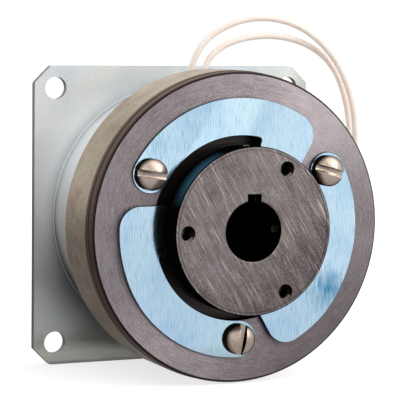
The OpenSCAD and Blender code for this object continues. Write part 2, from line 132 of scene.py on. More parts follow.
def add(tree, kind, inputs=None, stops=None, **settings):
    """Adds a node with its settings and links.

    Each input is a value or another node's output, and each stop of a ramp is a place and a hex colour.
    """
    node = tree.nodes.new(kind)
    for name, value in settings.items():
        setattr(node, name, value)
    for name, value in (inputs or {}).items():
        if isinstance(value, bpy.types.NodeSocket):
            tree.links.new(value, node.inputs[name])
        else:
            node.inputs[name].default_value = value
    for index, (place, code) in enumerate(stops or ()):
        if index >= len(node.color_ramp.elements):
            node.color_ramp.elements.new(place)
        node.color_ramp.elements[index].position = place
        node.color_ramp.elements[index].color = colour(code)
    return node


def blank(name):
    """An empty material and its node tree."""
    material = bpy.data.materials.new(name)
    material.use_nodes = True
    material.node_tree.nodes.clear()
    return material, material.node_tree


def placed(tree, attribute=None):
    """The place of a point on the piece, or the one that it has at rest, kept in an attribute."""
    if attribute:
        return add(tree, "ShaderNodeAttribute", attribute_name=attribute).outputs["Vector"]
    return add(tree, "ShaderNodeTexCoord").outputs["Object"]


def along(tree, way):
    """How far a point lies that way from the middle of the mounting face, in metres."""
    spot = {0: placed(tree), 1: way}
    return add(tree, "ShaderNodeVectorMath", spot, operation="DOT_PRODUCT").outputs["Value"]


def depth(tree):
    """Distance in front of the mounting face, in metres."""
    return along(tree, (0.0, -1.0, 0.0))


def height(tree):
    """Height over the shaft's middle line, in metres."""
    return along(tree, (0.0, 0.0, 1.0))


def seen_flat(tree):
    """The place of a point as the front view shows it, without its depth."""
    flat = {0: placed(tree), 1: (1.0, 0.0, 1.0)}
    return add(tree, "ShaderNodeVectorMath", flat, operation="MULTIPLY").outputs["Vector"]


def outward(tree):
    """Distance from the shaft's middle line, in metres."""
    return add(tree, "ShaderNodeVectorMath", {0: seen_flat(tree)}, operation="LENGTH").outputs["Value"]


def facing(tree, way):
    """How far the surface looks that way: 1 straight on, 0 edge on, below 0 away from it."""
    normal = add(tree, "ShaderNodeTexCoord").outputs["Normal"]
    return add(tree, "ShaderNodeVectorMath", {0: normal, 1: way}, operation="DOT_PRODUCT").outputs["Value"]


def sideways(tree):
    """How far the surface looks sideways: 0 on faces square to the shaft, 1 on the walls along it."""
    square = add(tree, "ShaderNodeMath", {0: facing(tree, (0.0, 1.0, 0.0))}, operation="ABSOLUTE").outputs[0]
    return add(tree, "ShaderNodeMath", {0: 1.0, 1: square}, operation="SUBTRACT").outputs[0]


def corner_shade(tree, reach):
    """1 in corners and creases, where shade falls, and 0 on open faces, for painting shade there; a corner
    counts as far as reach.
    """
    nook = add(tree, "ShaderNodeAmbientOcclusion", {"Distance": reach}, samples=12).outputs["AO"]
    return add(tree, "ShaderNodeMath", {0: 1.0, 1: nook}, operation="SUBTRACT").outputs[0]


def stepped(tree, size, lean=0.0, attribute=None):
    """The place of a point in steps of one size, or of three, along axes that lean in the face by degrees."""
    steps = size if isinstance(size, tuple) else (size,) * 3
    turned = {"Vector": placed(tree, attribute), "Rotation": (0.0, math.radians(lean), 0.0), "Scale": steps}
    return add(tree, "ShaderNodeMapping", turned, vector_type="TEXTURE").outputs["Vector"]


def mottle(tree, size, detail=2.0, lean=0.0, attribute=None):
    """Soft random patches from 0 to 1, about as large as the size."""
    spots = {"Vector": stepped(tree, size, lean, attribute), "Scale": 1.0, "Detail": detail}
    return add(tree, "ShaderNodeTexNoise", spots).outputs["Fac"]


def turned_lines(tree, width, length):
    """Lines that a lathe tool leaves round the shaft: so wide, and so long at the armature's edge."""
    heading = add(tree, "ShaderNodeVectorMath", {0: seen_flat(tree)}, operation="NORMALIZE").outputs["Vector"]
    parts = add(tree, "ShaderNodeSeparateXYZ", {"Vector": heading}).outputs
    turns = ARMATURE_R / length
    scales = {"X": (outward(tree), 1 / width), "Y": (parts["X"], turns), "Z": (parts["Z"], turns)}
    wound = {}
    for axis, (value, scale) in scales.items():
        wound[axis] = add(tree, "ShaderNodeMath", {0: value, 1: scale}, operation="MULTIPLY").outputs[0]
    wound = add(tree, "ShaderNodeCombineXYZ", wound).outputs["Vector"]
    return add(tree, "ShaderNodeTexNoise", {"Vector": wound, "Scale": 1.0, "Detail": 3.0}).outputs["Fac"]


def where(tree, *tests):
    """1 where every test holds and 0 where one fails, with slopes between.

    A test is a pattern from 0 to 1, or a value with the place where it fails and the one where it holds.
    """
    share = 1.0
    for test in tests:
        if isinstance(test, tuple):
            value, fails, holds = test
            slope = {"Value": value, "From Min": fails, "From Max": holds}
            test = add(tree, "ShaderNodeMapRange", slope).outputs["Result"]
        share = add(tree, "ShaderNodeMath", {0: share, 1: test}, operation="MULTIPLY").outputs[0]
    return share


def layered(tree, seen, *layers):
    """A colour with others laid over it in turn.

    A layer is a colour, a pattern, where that starts and where it is full, and the share it covers there.
    """
    for above, pattern, start, full, most in layers:
        if isinstance(above, str):
            above = colour(above)
        share = {"Value": pattern, "From Min": start, "From Max": full, "To Min": 0.0, "To Max": most}
        share = add(tree, "ShaderNodeMapRange", share).outputs["Result"]
        inputs = {0: share, COLOUR_A: seen, COLOUR_B: above}
        seen = add(tree, "ShaderNodeMix", inputs, data_type="RGBA").outputs[MIXED]
    return seen


def surfaced(material, inputs, gloss, raised, relief):
    """Gives the material its shader.

    Gloss is a pattern and the roughness at its low and its high end. Raised is the pattern that stands up
    from the surface, and relief how far it does, in metres.
    """
    tree = material.node_tree
    pattern, least, most = gloss
    rough = {"Value": pattern, "From Min": PATTERN_LOW, "From Max": PATTERN_HIGH}
    rough = add(tree, "ShaderNodeMapRange", rough | {"To Min": least, "To Max": most}).outputs["Result"]
    bump = {"Height": raised, "Distance": relief, "Strength": 1.0}
    bump = add(tree, "ShaderNodeBump", bump).outputs["Normal"]
    shader = add(tree, "ShaderNodeBsdfPrincipled", inputs | {"Roughness": rough, "Normal": bump})
    add(tree, "ShaderNodeOutputMaterial", {"Surface": shader.outputs["BSDF"]})
    return material


def two_toned(name, size, tones, gloss, relief, inputs, attribute=None):
    """A material of a darker and a lighter tone, whose gloss and relief follow the same patches."""
    material, tree = blank(name)
    patches = mottle(tree, size, attribute=attribute)
    stops = zip((PATTERN_LOW, PATTERN_HIGH), tones)
    tone = add(tree, RAMP, {"Fac": patches}, stops).outputs["Color"]
    return surfaced(material, {"Base Color": tone} | inputs, (patches, *gloss), patches, relief)


# Finishes of the magnet and its flange

def bright_zinc_sheet():
    """Cold-rolled steel sheet, blanked, drawn and zinc plated with a clear blue passivate.

    A pale blue-grey satin with cloudy patches and bright grains, with a painted highlight a little under its
    top edge, painted shade downwards and a painted dull cream sheen in patches at its foot. It has painted
    shade low round the pan, in the crease and on the bend round the pan and towards its right edge, a painted
    tan reflection and shade low on the pan's side, and it is dull brown where the shears cut it, with painted
    shade in the holes.
    """
    material, tree = blank("bright_zinc_sheet")
    up = height(tree)
    front = depth(tree)
    slant = sideways(tree)
    clouds = mottle(tree, 16 * MM, 3.0)
    # Zinc grains are under 0.1 mm and are drawn 0.45 mm wide, so that they show
    grains = mottle(tree, 0.45 * MM, 3.0)
    # Patches of the painted sheen at the foot
    sheen_patches = mottle(tree, (5 * MM, 5 * MM, 1.5 * MM), 4.0)
    off_plate = (front, PLATE_FACE, PLATE_FACE + 2 * MM)
    # Masks for painted light and shade: the pan's low side, the sheen at the foot, shade low round the pan,
    # in its crease, on its bend and in the cut holes
    pan_side = where(tree, (slant, 0.85, 0.95), off_plate, (up, 18 * MM, -8 * MM))
    foot = where(tree, (up, -34 * MM, -45 * MM), sheen_patches)
    low_pan_shade = where(tree, corner_shade(tree, 18 * MM), (up, 8 * MM, -24 * MM), (up, -48 * MM, -42 * MM))
    corner = where(tree, corner_shade(tree, 2 * MM), (up, 30 * MM, -5 * MM))
    bend = where(tree, (slant, 0.04, 0.2), (slant, 0.98, 0.88), (front, PLATE_FACE, PLATE_FACE + 0.05 * MM))
    low_bend = where(tree, bend, (up, 14 * MM, -16 * MM))
    cut = where(tree, slant, (front, PLATE_FACE + 0.05 * MM, PLATE_FACE - 0.05 * MM))
    shaded_cut = where(tree, cut, corner_shade(tree, 5 * MM))
    stops = [(0.32, "#CFD7DB"), (0.5, "#D8DDDF"), (0.68, "#DDDED7")]
    zinc = add(tree, RAMP, {"Fac": clouds}, stops).outputs["Color"]
    brown = add(tree, RAMP, {"Fac": grains}, [(0.3, "#665A59"), (0.7, "#8A7E7A")]).outputs["Color"]
    zinc = layered(
        tree, zinc,
        ("#FAFCFC", grains, 0.55, 0.7, 0.5),
        ("#AEB7BB", grains, 0.45, 0.3, 0.45),
        # Painted highlight a little under the top edge
        ("#F7FAFB", up, 44 * MM, 30 * MM, 0.75),
        # Painted shade downwards
        ("#74787B", up, 30 * MM, -20 * MM, 0.38),
        # Painted shade in a soft band round the pan's foot
        ("#A0A7AC", corner_shade(tree, 6 * MM), 0.1, 0.5, 0.6),
        # Painted tan reflection and shade low on the pan's side
        ("#A08B77", pan_side, 0.0, 1.0, 0.6),
        # Painted dull cream sheen at the foot
        ("#E6E3D8", foot, 0.0, 0.6, 0.85),
        # Painted shade low round the pan
        ("#34352F", low_pan_shade, 0.12, 0.4, 0.8),
        # Painted shade in the crease round the pan, higher up
        ("#565B60", corner, 0.14, 0.42, 0.7),
        # Painted shade on the bend between the sheet and the pan, darker lower down
        ("#9CA2A6", bend, 0.0, 1.0, 0.5),
        ("#4A5557", low_bend, 0.0, 1.0, 0.85),
        # Painted shade towards the right edge
        ("#8F9494", along(tree, RIGHT), 43 * MM, 50 * MM, 0.5),
        (brown, cut, 0.45, 0.7, 1.0),
        # Painted shade in the cut holes and corners
        ("#1C1919", shaded_cut, 0.2, 0.45, 0.5),
    )
    # Less metal at the foot, so that the painted sheen there shows
    metal = {"Value": foot, "From Max": 0.5, "To Min": 0.65, "To Max": 0.1}
    metal = add(tree, "ShaderNodeMapRange", metal).outputs["Result"]
    inputs = {"Base Color": zinc, "Metallic": metal, "Specular IOR Level": 0.3}
    return surfaced(material, inputs, (clouds, 0.34, 0.44), grains, 0.006 * MM)


def dichromate_steel():
    """Turned mild steel, zinc plated and passivated in dichromate.

    A reddish tan with olive patches and grains over the fine rings of the lathe tool, speckled olive at the
    upper left, with painted shade below, and bare and brown at the pole.
    """
    material, tree = blank("dichromate_steel")
    clouds = mottle(tree, 9 * MM, 3.0)
    bloom = mottle(tree, 5 * MM)
    olive = mottle(tree, 14 * MM)
    # The film's grains are under 0.1 mm and are drawn 0.5 mm wide
    grains = mottle(tree, 0.5 * MM, 3.0)
    # The tool's feed is 0.1 mm, which would not show, so its rings are drawn 0.35 mm apart
    rings = mottle(tree, (30 * MM, 0.35 * MM, 30 * MM), 1.0)
    speckled = where(tree, (along(tree, UPPER_LEFT), 47.5 * MM, 49.2 * MM), (grains, 0.4, 0.6))
    stops = [(0.3, "#8C7868"), (0.45, "#A3907F"), (0.58, "#B09F8F"), (0.72, "#998470")]
    plated = add(tree, RAMP, {"Fac": clouds}, stops).outputs["Color"]
    brown = add(tree, RAMP, {"Fac": rings}, [(0.3, "#54433C"), (0.7, "#66534A")]).outputs["Color"]
    plated = layered(
        tree, plated,
        ("#9C9A80", olive, 0.52, 0.66, 0.75),
        ("#B98D7A", bloom, 0.55, 0.72, 0.4),
        ("#75765D", speckled, 0.0, 1.0, 0.5),
        ("#5E5843", grains, 0.46, 0.3, 0.65),
        ("#D6CDBB", grains, 0.56, 0.7, 0.6),
        # Painted shade below
        ("#453A32", height(tree), 0.0, -42 * MM, 0.5),
        (brown, depth(tree), MAGNET_BARE - 0.05 * MM, MAGNET_BARE + 0.05 * MM, 1.0),
    )
    inputs = {"Base Color": plated, "Metallic": 0.9, "Specular IOR Level": 0.2}
    return surfaced(material, inputs, (grains, 0.38, 0.5), rings, 0.006 * MM)


def turned_pole_steel():
    """Bare mild steel, faced on a lathe and oiled, with fine rings; its dark grey is painted shade, for it
    lies deep behind the hub and the armature.
    """
    material, tree = blank("turned_pole_steel")
    # The tool's feed is 0.1 mm, and its rings are drawn 0.3 mm apart
    rings = turned_lines(tree, 0.3 * MM, 30 * MM)
    # Its dark grey is painted shade
    steel = add(tree, RAMP, {"Fac": rings}, [(0.3, "#2F2B29"), (0.7, "#4C4744")]).outputs["Color"]
    return surfaced(material, {"Base Color": steel, "Metallic": 1.0}, (rings, 0.28, 0.4), rings, 0.005 * MM)


def moulded_nylon():
    """Natural nylon, injection moulded: a waxy cream."""
    material, tree = blank("moulded_nylon")
    clouds = mottle(tree, 6 * MM)
    cream = add(tree, RAMP, {"Fac": clouds}, [(0.3, "#D6CDB6"), (0.7, "#E0D9C6")]).outputs["Color"]
    inputs = {"Base Color": cream, "Subsurface Weight": 0.1, "Subsurface Scale": 1 * MM}
    return surfaced(material, inputs, (clouds, 0.4, 0.5), mottle(tree, 0.4 * MM), 0.003 * MM)


def enamelled_copper():
    """Enamelled copper magnet wire, wound in layers: red-brown turns side by side, 0.5 mm apart."""
    material, tree = blank("enamelled_copper")
    waves = {"Vector": stepped(tree, (1.0, 0.5 * MM, 1.0)), "Scale": 1 / math.tau}
    turns = add(tree, "ShaderNodeTexWave", waves, wave_type="BANDS", bands_direction="Y").outputs["Fac"]
    copper = add(tree, RAMP, {"Fac": turns}, [(0.0, "#6E2F14"), (0.6, "#B4602E")]).outputs["Color"]
    return surfaced(material, {"Base Color": copper, "Metallic": 0.8}, (turns, 0.28, 0.34), turns, 0.1 * MM)


def poured_resin():
    """Black epoxy, poured and cured: smooth and dark with small dimples."""
    return two_toned("poured_resin", 1.5 * MM, ("#141312", "#24211F"), (0.25, 0.4), 0.02 * MM, {})


def pressed_lining():
    """Pressed friction lining, ground flat: dark grey-brown with brass chips 0.8 mm apart."""
    material, tree = blank("pressed_lining")
    cells = {"Vector": stepped(tree, 0.8 * MM), "Scale": 1.0}
    chips = add(tree, "ShaderNodeTexVoronoi", cells).outputs["Distance"]
    specks = mottle(tree, 0.4 * MM)
    bed = add(tree, RAMP, {"Fac": specks}, [(0.3, "#3B342F"), (0.7, "#575049")]).outputs["Color"]
    bed = layered(tree, bed, ("#9A8B66", chips, 0.25, 0.15, 1.0))
    return surfaced(material, {"Base Color": bed}, (specks, 0.7, 0.85), specks, 0.02 * MM)


def plated_rivet_steel():
    """Cold-headed steel rivets, zinc plated: a soft silver-grey."""
    tones = ("#9FA4A6", "#C6CACB")
    return two_toned("plated_rivet_steel", 0.6 * MM, tones, (0.3, 0.42), 0.006 * MM, {"Metallic": 1.0})


# Finishes of the leads

def moulded_rubber():
    """Black rubber, moulded: matt, with a bloom of grey."""
    material, tree = blank("moulded_rubber")
    bloom = mottle(tree, 2 * MM, 3.0)
    black = add(tree, RAMP, {"Fac": bloom}, [(0.35, "#161616"), (0.75, "#2B2A29")]).outputs["Color"]
    return surfaced(material, {"Base Color": black}, (bloom, 0.6, 0.75), mottle(tree, 0.3 * MM), 0.01 * MM)


def extruded_vinyl():
    """Vinyl insulation, extruded over the strands: a waxy peach cream, faintly clouded and specked."""
    material, tree = blank("extruded_vinyl")
    flow = mottle(tree, 3 * MM, 3.0)
    cream = add(tree, RAMP, {"Fac": flow}, [(0.3, "#FBE7DA"), (0.7, "#FFF4EC")]).outputs["Color"]
    cream = layered(tree, cream, ("#B7A294", mottle(tree, 0.5 * MM, 3.0), 0.42, 0.3, 0.18))
    inputs = {"Base Color": cream, "Subsurface Weight": 0.15, "Subsurface Radius": (1.0, 0.6, 0.4),
              "Subsurface Scale": 0.8 * MM}
    return surfaced(material, inputs, (flow, 0.36, 0.5), mottle(tree, 0.5 * MM), 0.006 * MM)


def tinned_copper():
    """Tinned copper strands, twisted: bright silver with a dull grey film."""
    tones = ("#A9A8A4", "#D5D4D0")
    return two_toned("tinned_copper", 0.5 * MM, tones, (0.25, 0.4), 0.004 * MM, {"Metallic": 1.0})


# Finishes of the hub

def turned_hub_steel():
    """Carbon steel, turned, its face rubbed down with coarse cloth.

    A warm grey with a fine grain, crossed by bright and dark scratches that lean one way, with painted shade
    to the lower right, stained brown by old oil in places, and with a thin scribed ring. The wells and
    corners have painted shade, and the lip at the foot of each well's mouth a painted highlight.
    """
    material, tree = blank("turned_hub_steel")
    front = depth(tree)
    slant = sideways(tree)
    # The cloth was drawn across the face at this angle from upright, in degrees
    lean = -30
    # The grain is under 0.1 mm and is drawn 0.3 mm wide, and scratches from 80 grit are drawn 0.2 mm wide
    grain = mottle(tree, 0.3 * MM, 3.0)
    scratches = mottle(tree, (0.2 * MM, 1.0, 11 * MM), 2.0, lean)
    gouges = mottle(tree, (0.45 * MM, 1.0, 17 * MM), 1.0, lean)
    rubbed = mottle(tree, (1.6 * MM, 1.0, 16 * MM), 2.0, lean)
    clouds = mottle(tree, 7 * MM, 3.0)
    from_ring = add(tree, "ShaderNodeMath", {0: outward(tree), 1: SCRIBED_R}, operation="SUBTRACT").outputs[0]
    from_ring = add(tree, "ShaderNodeMath", {0: from_ring}, operation="ABSOLUTE").outputs[0]
    # Where the painted highlight lies: the lower lip just inside each well's mouth
    lip = where(
        tree,
        (facing(tree, (-0.2, 0.0, 0.98)), 0.55, 0.8),
        (front, HUB_FACE - 3.2 * MM, HUB_FACE - 2 * MM),
        (front, HUB_FACE - 0.5 * MM, HUB_FACE - 0.9 * MM),
        (slant, 0.6, 0.8),
    )
    stops = [(0.3, "#6E6360"), (0.5, "#7F7472"), (0.7, "#897F7E")]
    face = add(tree, RAMP, {"Fac": clouds}, stops).outputs["Color"]
    face = layered(
        tree, face,
        ("#705C48", mottle(tree, 9 * MM, 3.0), 0.56, 0.72, 0.4),
        # Painted shade to the lower right
        ("#3A302E", along(tree, (0.75, 0.0, -0.66)), 0.0, 24 * MM, 0.45),
        ("#473E3D", grain, 0.5, 0.32, 0.6),
        ("#B0A5A3", grain, 0.55, 0.72, 0.55),
        ("#A2978F", rubbed, 0.5, 0.7, 0.4),
        ("#4B4341", scratches, 0.42, 0.3, 0.6),
        ("#CFC4C0", scratches, 0.59, 0.69, 0.7),
        ("#E2D8D2", gouges, 0.68, 0.76, 0.8),
        ("#3A302D", from_ring, 0.22 * MM, 0.08 * MM, 0.45),
        # Painted shade in the wells and corners
        ("#1C1715", corner_shade(tree, 1 * MM), 0.45, 0.8, 0.8),
        # Painted shade on the walls of the wells
        ("#0E0A09", slant, 0.6, 0.8, 1.0),
        # Painted highlight on the lip of each well
        ("#DCC8BC", lip, 0.3, 0.8, 0.95),
    )
    # Less metal on the lip, so that the painted highlight there shows
    inputs = {"Base Color": face, "Metallic": where(tree, (lip, 0.6, 0.3))}
    return surfaced(material, inputs, (grain, 0.3, 0.42), scratches, 0.006 * MM)


def oiled_black_steel():
    """Carbon steel, turned smooth, with an oiled black oxide.

    A deep black that gives back next to no light, with a painted blue reflection of the leaf on the upper
    left of the rim.
    """
    material, tree = blank("oiled_black_steel")
    film = mottle(tree, 3 * MM)
    # The tool's feed is 0.1 mm, and its rings are drawn 0.3 mm apart
    rings = mottle(tree, (30 * MM, 0.3 * MM, 30 * MM), 1.0)
    near_face = (depth(tree), HUB_FACE - 7 * MM, HUB_FACE - 1.5 * MM)
    # Where the painted blue reflection of the leaf lies: the rim's upper left, near its face
    heat = where(tree, (facing(tree, UPPER_LEFT), 0.9, 0.99), near_face)
    black = add(tree, RAMP, {"Fac": film}, [(0.3, "#030303"), (0.7, "#080706")]).outputs["Color"]
    black = layered(tree, black, ("#33596F", heat, 0.0, 1.0, 0.75))
    inputs = {"Base Color": black, "Specular IOR Level": 0.0}
    return surfaced(material, inputs, (film, 0.4, 0.5), rings, 0.0004 * MM)


def black_bore():
    """The walls of bores and hidden holes: reamed steel, painted near black as the shade deep in them.

    A black that gives back no light.
    """
    # Near black: painted shade
    tones = ("#020202", "#050504")
    return two_toned("black_bore", 2 * MM, tones, (0.6, 0.75), 0.01 * MM, {"Specular IOR Level": 0.0})


def blackened_steel():
    """Alloy steel set screws with a black oxide: nearly black with a dull shine."""
    tones = ("#141313", "#232121")
    return two_toned("blackened_steel", 0.8 * MM, tones, (0.32, 0.45), 0.005 * MM, {"Metallic": 1.0})


# Finishes of the leaf springs and the armature

def blued_spring_steel():
    """Spring steel strip, cut, rubbed upright with fine cloth and blued by heat.

    A polished pale blue with upright streaks, and a deeper blue where the heat ran on.
    """
    material, tree = blank("blued_spring_steel")
    # Lines from 240 grit are 0.05 mm wide and are drawn 0.2 mm wide, so that they show
    lines = mottle(tree, (0.2 * MM, 1.0, 4 * MM), 3.0, attribute=REST)
    passes = mottle(tree, (1.8 * MM, 1.0, 30 * MM), 1.0, attribute=REST)
    heat = mottle(tree, (10 * MM, 10 * MM, 14 * MM), attribute=REST)
    ragged = mottle(tree, (1.2 * MM, 1.0, 5 * MM), 3.0, attribute=REST)
    stops = [(0.3, "#C0E1F6"), (0.5, "#CEEBFB"), (0.7, "#D1EFFA")]
    blue = add(tree, RAMP, {"Fac": heat}, stops).outputs["Color"]
    blue = layered(tree, blue, ("#DDF1FD", passes, 0.5, 0.66, 0.4))
    for middle, reach, strength in HEAT_SPOTS:
        away = {0: placed(tree, REST), 1: middle}
        away = add(tree, "ShaderNodeVectorMath", away, operation="DISTANCE").outputs["Value"]
        frayed = {0: ragged, 1: 1.4 * reach, 2: away}
        frayed = add(tree, "ShaderNodeMath", frayed, operation="MULTIPLY_ADD").outputs[0]
        blue = layered(tree, blue, ("#2F86AE", frayed, 1.7 * reach, 0.7 * reach, strength))
    blue = layered(tree, blue, ("#639DC8", lines, 0.46, 0.3, 0.6), ("#F2FBFF", lines, 0.55, 0.7, 0.6))
    return surfaced(material, {"Base Color": blue, "Metallic": 1.0}, (lines, 0.08, 0.15), lines, 0.002 * MM)


def sheared_spring_edge():
    """The leaf's cut edge: spring steel from the shears, blued by heat.

    A dark blue-grey with a dull grain.
    """
    tones = ("#161F26", "#3A4852")
    return two_toned("sheared_spring_edge", 0.5 * MM, tones, (0.4, 0.5), 0.01 * MM, {"Metallic": 1.0}, REST)


def burnt_spring_corner():
    """The thin corner of the leaf's cut edge, which the heat turned blue-black."""
    tones = ("#0D1A24", "#263B4B")
    inputs = {"Metallic": 0.7, "Specular IOR Level": 0.2}
    return two_toned("burnt_spring_corner", 0.5 * MM, tones, (0.4, 0.55), 0.01 * MM, inputs, REST)


def turned_armature_steel():
    """Mild steel disc, faced on a lathe and lightly browned.

    A warm grey with fine short rings and bright specks, with a painted highlight at the upper right, painted
    shade at the lower right, and painted shade along the leaves and in corners.
    """
    material, tree = blank("turned_armature_steel")
    # The tool's feed is 0.1 mm, and its rings are drawn 0.25 mm apart
    rings = turned_lines(tree, 0.25 * MM, 5 * MM)
    specks = mottle(tree, 0.35 * MM, 3.0)
    clouds = mottle(tree, 8 * MM)
    # Where the painted highlight lies: the upper right
    rubbed = where(tree, (along(tree, RIGHT), 5 * MM, 32 * MM), (height(tree), 5 * MM, 28 * MM))
    face = add(tree, RAMP, {"Fac": clouds}, [(0.3, "#8D8283"), (0.7, "#9B9093")]).outputs["Color"]
    face = layered(
        tree, face,
        ("#5A4F4F", rings, 0.48, 0.3, 0.5),
        ("#B5AAA9", rings, 0.54, 0.7, 0.5),
        ("#DDD3D2", specks, 0.58, 0.72, 0.6),
        ("#5F5556", specks, 0.42, 0.3, 0.5),
        # Painted highlight at the upper right
        ("#DDD4D4", rubbed, 0.0, 1.0, 0.2),
        # Painted shade at the lower right
        ("#453B3C", along(tree, (0.5, 0.0, -0.87)), 26 * MM, 46 * MM, 0.42),
        # Painted shade along the leaves and in corners
        ("#1A1413", corner_shade(tree, 1.6 * MM), 0.28, 0.6, 0.85),
    )
    round_shaft = add(tree, "ShaderNodeTangent", direction_type="RADIAL", axis="Y").outputs["Tangent"]
    inputs = {"Base Color": face, "Metallic": 1.0, "Anisotropic": 0.8, "Anisotropic Rotation": 0.25,
              "Tangent": round_shaft}
    return surfaced(material, inputs, (rings, 0.36, 0.46), rings, 0.006 * MM)


def browned_rim():
    """The armature's rim: turned steel browned by oil and heat.

    A satin dark brown with fine rings, with painted shade below, and black on the slanted corner between rim
    and face.
    """
    material, tree = blank("browned_rim")
    # The tool's feed is 0.1 mm, and its rings are drawn 0.3 mm apart
    rings = mottle(tree, (30 * MM, 0.3 * MM, 30 * MM), 1.0)
    inside_rim = (outward(tree), ARMATURE_R - 0.25 * MM, ARMATURE_R - 0.35 * MM)
    corner = where(tree, (sideways(tree), 0.6, 0.45), inside_rim)
    brown = add(tree, RAMP, {"Fac": rings}, [(0.3, "#46342E"), (0.7, "#594439")]).outputs["Color"]
    brown = layered(
        tree, brown,
        # Painted shade below
        ("#180F0C", height(tree), 24 * MM, -6 * MM, 0.55),
        ("#070504", corner, 0.0, 1.0, 0.95),
    )
    inputs = {"Base Color": brown, "Specular IOR Level": 0.15}
    return surfaced(material, inputs, (rings, 0.42, 0.52), rings, 0.005 * MM)


def nickel_plated_steel():
    """Machine screws in steel, headed, slotted and nickel plated.

    Warm bright domes, with painted shade round the skirt and along the slots.
    """
    material, tree = blank("nickel_plated_steel")
    film = mottle(tree, 0.5 * MM, 3.0)
    nickel = add(tree, RAMP, {"Fac": film}, [(0.3, "#AE998A"), (0.7, "#CBBAAC")]).outputs["Color"]
    nickel = layered(
        tree, nickel,
        # Painted shade round the skirt
        ("#1A120D", sideways(tree), 0.14, 0.24, 0.85),
        # Painted shade along the slots
        ("#17100B", corner_shade(tree, 0.7 * MM), 0.16, 0.4, 0.95),
    )
    return surfaced(material, {"Base Color": nickel, "Metallic": 0.78}, (film, 0.27, 0.33), film, 0.002 * MM)


def shaded_head_side():
    """The straight sides of the screw heads and of their slots, painted near black as shade."""
    # Near black: painted shade
    tones = ("#0D0A08", "#221A15")
    return two_toned("shaded_head_side", 0.6 * MM, tones, (0.5, 0.6), 0.004 * MM, {"Specular IOR Level": 0.0})


# The floor, the light and the white round the object

ROOM_LEVEL = 0.7
FLOOR_REACH = 6.0
# The paper glows for the eye, and least at one place, which deepens the flange's shadow there with painted
# shadow: that place, the glow there, how far from there it has risen, and the glow from there on
SHADE_AT = (-0.075, 0.03, FLOOR)
SHADE_GLOW = 0.58
SHADE_REACH = 0.14
PAPER_GLOW = 0.78
# Glowing boards and cloths that only shiny surfaces show: painted reflections, bright and dark, that give the
# bright metal its darker sides. The even tone each glows with, one corner and the two edges that start there,
# in metres
BOARDS = {
    "far_glow_cloth": ("#DADFE6", (-0.9, -0.9, -0.0498), (1.1, 0.0, 0.0), (0.0, 1.4, 0.0)),
    "side_glow_cloth": ("#EEF1F5", (0.2, -0.9, -0.0498), (1.1, 0.0, 0.0), (0.0, 1.4, 0.0)),
    "near_glow_cloth": ("#C6C8CC", (-0.4, -0.12, -0.0496), (0.8, 0.0, 0.0), (0.0, 0.42, 0.0)),
    "under_shade_cloth": ("#858585", (-0.2, -0.03, -0.0494), (0.4, 0.0, 0.0), (0.0, 0.33, 0.0)),
    "black_shade_flag": ("#040404", (-0.14, -0.1, -0.045), (0.0, 0.6, 0.0), (-0.46, 0.0, 0.145)),
    "near_glow_card": ("#DFE6EC", (0.3, -0.9, -0.049), (0.1, 0.0, 0.0), (0.0, 0.0, 0.169)),
    "right_glow_card": ("#F1F5F8", (0.4, -0.9, -0.049), (0.9, 0.0, 0.0), (0.0, 0.0, 0.169)),
}


def looked_at(tree):
    """1 for what the camera sees, also in a shiny or clear surface, and 0 for light that falls on things."""
    ray = add(tree, "ShaderNodeLightPath").outputs
    seen = ray["Is Camera Ray"]
    for kind in ("Is Glossy Ray", "Is Transmission Ray"):
        seen = add(tree, "ShaderNodeMath", {0: seen, 1: ray[kind]}, operation="MAXIMUM").outputs[0]
    return seen


def flat_sheet(name, corners, material):
    """A flat sheet of the studio, through four corners."""
    mesh = bpy.data.meshes.new(name)
    mesh.from_pydata(corners, [], [(0, 1, 2, 3)])
    mesh.materials.append(material)
    sheet = bpy.data.objects.new(name, mesh)
    scene.collection.objects.link(sheet)
    return sheet


def lay_floor():
    """A wide sheet of white paper that keeps the object's shadow, is white as far as the eye goes, and has
    painted shadow left of the flange, where it glows least.
    """
    material, tree = blank("white_paper")
    paper = add(tree, "ShaderNodeBsdfDiffuse", {"Color": colour("#BEBEBE")}).outputs["BSDF"]
    away = {0: placed(tree), 1: SHADE_AT}
    away = add(tree, "ShaderNodeVectorMath", away, operation="DISTANCE").outputs["Value"]
    # The glow is least at SHADE_AT, which paints a soft shadow there
    level = {"Value": away, "From Max": SHADE_REACH, "To Min": SHADE_GLOW, "To Max": PAPER_GLOW}
    level = add(tree, "ShaderNodeMapRange", level).outputs["Result"]
    level = add(tree, "ShaderNodeMath", {0: looked_at(tree), 1: level}, operation="MULTIPLY").outputs[0]
    glow = {"Color": colour("#FFFFFF"), "Strength": level}
    glow = add(tree, "ShaderNodeEmission", glow).outputs["Emission"]
    glowing = add(tree, "ShaderNodeAddShader", {0: paper, 1: glow}).outputs["Shader"]
    add(tree, "ShaderNodeOutputMaterial", {"Surface": glowing})
    corners = [(x * FLOOR_REACH, y * FLOOR_REACH, FLOOR) for x, y in ((-1, -1), (1, -1), (1, 1), (-1, 1))]
    floor = flat_sheet("studio_floor", corners, material)


def stand_boards():
    """Glowing boards and cloths round the object that the camera and soft light do not see, which paint
    reflections on the shiny metal.
    """
    for name, (tone, corner, *edges) in BOARDS.items():
        material, tree = blank(name)
        # Each glows with its tone, a painted reflection that only shiny surfaces show
        even = add(tree, "ShaderNodeEmission", {"Color": colour(tone), "Strength": 1.0}).outputs["Emission"]
        add(tree, "ShaderNodeOutputMaterial", {"Surface": even})
        start = Vector(corner)
        one, other = (Vector(edge) for edge in edges)
        board = flat_sheet(name, [start, start + one, start + one + other, start + other], material)
        board.visible_camera = False
        board.visible_diffuse = False
        board.visible_shadow = False


